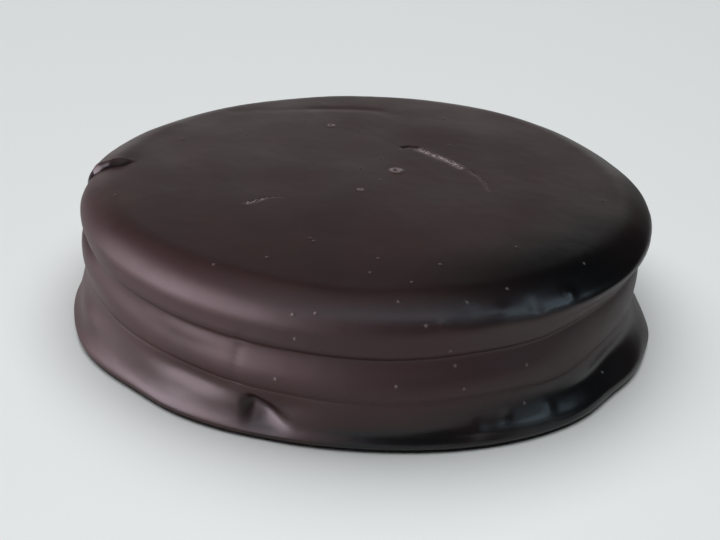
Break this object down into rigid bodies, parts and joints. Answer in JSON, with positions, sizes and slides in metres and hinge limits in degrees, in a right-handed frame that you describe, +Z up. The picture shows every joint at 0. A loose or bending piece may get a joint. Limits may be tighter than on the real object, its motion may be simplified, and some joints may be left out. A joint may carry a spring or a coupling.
{
  "type": "alfajor cookie",
  "caption": "Round sandwich biscuit of stacked tiers under one dark chocolate coat, with soft grooves between the tiers and a thin pooled foot.",
  "frame": {"origin": "centre of the flat underside, on the surface it rests on", "axes": "+Z up through the tiers; -Y faces the viewer of the source view, +X to the viewer's right"},
  "size_m": [0.0694, 0.069, 0.0167],
  "materials": {
    "dark_chocolate": "semi-gloss dark chocolate coating with a faint haze"
  },
  "bodies": {
    "root": {"coated_alfajor": "dark_chocolate"}
  },
  "joints": []
}
